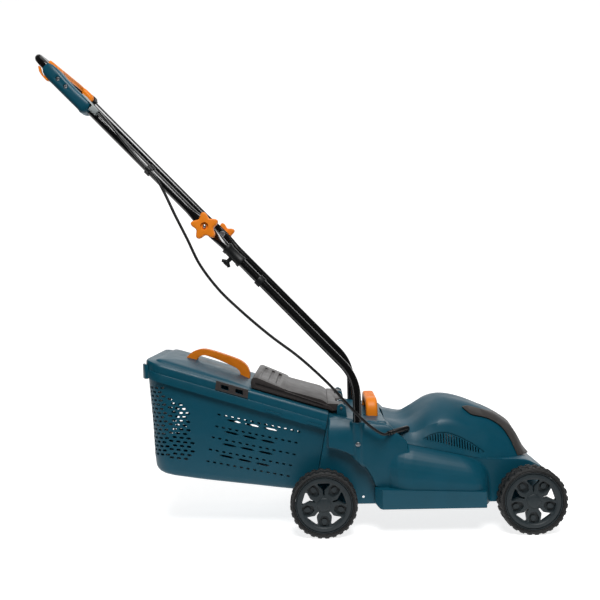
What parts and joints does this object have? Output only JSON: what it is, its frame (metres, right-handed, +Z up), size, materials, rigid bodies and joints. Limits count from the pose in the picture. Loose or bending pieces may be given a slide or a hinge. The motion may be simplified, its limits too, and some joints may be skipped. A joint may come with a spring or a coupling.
{
  "type": "rotary lawn mower",
  "caption": "Corded electric rotary lawn mower with a folding tube handle, a removable rear grass box, a spring flap and a horizontal blade under a moulded deck.",
  "frame": {"origin": "middle of the footprint's box on the ground", "axes": "+X forward, +Y to the mower's left, +Z up"},
  "size_m": [1.1652, 0.38, 1.0972],
  "materials": {
    "teal_plastic": "satin moulded",
    "orange_plastic": "satin moulded",
    "charcoal_plastic": "fine texture",
    "black_plastic": "moulded",
    "grey_plastic": "moulded",
    "black_paint": "gloss powder coat",
    "bright_steel": "zinc plated",
    "blade_steel": "ground",
    "motor_steel": "dark coated",
    "cable_rubber": "smooth sheath",
    "tyre_rubber": "moulded tread",
    "rim_plastic": "satin moulded"
  },
  "bodies": {
    "chassis": {"deck": "teal_plastic", "motor_cover": "teal_plastic", "cover_trim": "charcoal_plastic", "deck_handle": "orange_plastic", "motor_can": "motor_steel", "rear_axle": "bright_steel", "front_axle": "bright_steel", "lower_tube_right": "black_paint", "tube_screw_right": "bright_steel", "pivot_bolt_right": "bright_steel", "lower_tube_left": "black_paint", "tube_screw_left": "bright_steel", "pivot_bolt_left": "bright_steel", "cable_clip_lower": "black_plastic", "cord_hook": "black_plastic", "cable_gland": "cable_rubber", "power_cable": "cable_rubber", "flap_rod": "bright_steel", "flap_spring": "bright_steel"},
    "rotor": {"motor_shaft": "bright_steel", "cooling_fan": "black_plastic", "blade_carrier": "black_plastic", "blade": "blade_steel", "blade_bolt": "blade_steel"},
    "handle": {"upper_handle": "black_paint", "switch_box_outer": "teal_plastic", "switch_box_inner": "teal_plastic", "switch_screw_top": "bright_steel", "switch_screw_bottom": "bright_steel", "mains_inlet": "grey_plastic", "bail_bracket": "black_plastic", "cable_clip_upper": "black_plastic"},
    "bail": {"bail_lever": "orange_plastic"},
    "button": {"safety_button": "orange_plastic"},
    "knob_right": {"star_knob_right": "orange_plastic"},
    "knob_left": {"star_knob_left": "orange_plastic"},
    "flap": {"rear_flap": "charcoal_plastic"},
    "collector": {"grass_box": "teal_plastic", "grass_box_lid": "teal_plastic", "grass_box_handle": "orange_plastic", "grass_box_plate": "charcoal_plastic", "box_latch_right": "teal_plastic", "box_latch_left": "teal_plastic"},
    "wheel_rear_right": {"tyre_rear_right": "tyre_rubber", "rim_rear_right": "rim_plastic", "hub_cap_rear_right": "rim_plastic"},
    "wheel_rear_left": {"tyre_rear_left": "tyre_rubber", "rim_rear_left": "rim_plastic", "hub_cap_rear_left": "rim_plastic"},
    "wheel_front_right": {"tyre_front_right": "tyre_rubber", "rim_front_right": "rim_plastic", "hub_cap_front_right": "rim_plastic"},
    "wheel_front_left": {"tyre_front_left": "tyre_rubber", "rim_front_left": "rim_plastic", "hub_cap_front_left": "rim_plastic"}
  },
  "joints": [
    {"name": "spin_rear_right", "type": "hinge", "parent": "chassis", "child": "wheel_rear_right", "pos_m": [0.04762, -0.172, 0.075], "axis": [0, 1, 0], "continuous": true},
    {"name": "spin_rear_left", "type": "hinge", "parent": "chassis", "child": "wheel_rear_left", "pos_m": [0.04762, 0.172, 0.075], "axis": [0, 1, 0], "continuous": true},
    {"name": "spin_front_right", "type": "hinge", "parent": "chassis", "child": "wheel_front_right", "pos_m": [0.50762, -0.172, 0.075], "axis": [0, 1, 0], "continuous": true},
    {"name": "spin_front_left", "type": "hinge", "parent": "chassis", "child": "wheel_front_left", "pos_m": [0.50762, 0.172, 0.075], "axis": [0, 1, 0], "continuous": true},
    {"name": "rotor_spin", "type": "hinge", "parent": "chassis", "child": "rotor", "pos_m": [0.29562, 0, 0.082], "axis": [0, 0, 1], "continuous": true},
    {"name": "handle_fold", "type": "hinge", "parent": "chassis", "child": "handle", "pos_m": [-0.20038, 0, 0.695], "axis": [0, 1, 0], "range_deg": [0, 144], "deforming": ["power_cable"]},
    {"name": "bail_squeeze", "type": "hinge", "parent": "handle", "child": "bail", "pos_m": [-0.52914, 0, 1.05301], "axis": [0, -1, 0], "range_deg": [0, 14], "stiffness_Nm_per_rad": 1.2, "springref_deg": -6.88},
    {"name": "button_press", "type": "slide", "parent": "handle", "child": "button", "axis": [0.7253, 0, 0.6884], "range_m": [0, 0.004], "stiffness_N_per_m": 250, "springref_m": -0.003},
    {"name": "knob_turn_right", "type": "hinge", "parent": "chassis", "child": "knob_right", "pos_m": [-0.20038, -0.172, 0.695], "axis": [0, -1, 0], "continuous": true},
    {"name": "knob_turn_left", "type": "hinge", "parent": "chassis", "child": "knob_left", "pos_m": [-0.20038, 0.172, 0.695], "axis": [0, 1, 0], "continuous": true},
    {"name": "flap_lift", "type": "hinge", "parent": "chassis", "child": "flap", "pos_m": [0.09162, 0, 0.279], "axis": [0, 1, 0], "range_deg": [0, 75], "stiffness_Nm_per_rad": 0.5, "springref_deg": -34.38},
    {"name": "box_withdraw", "type": "slide", "parent": "chassis", "child": "collector", "axis": [-0.9552, 0, 0.2961], "range_m": [0, 0.26]}
  ]
}
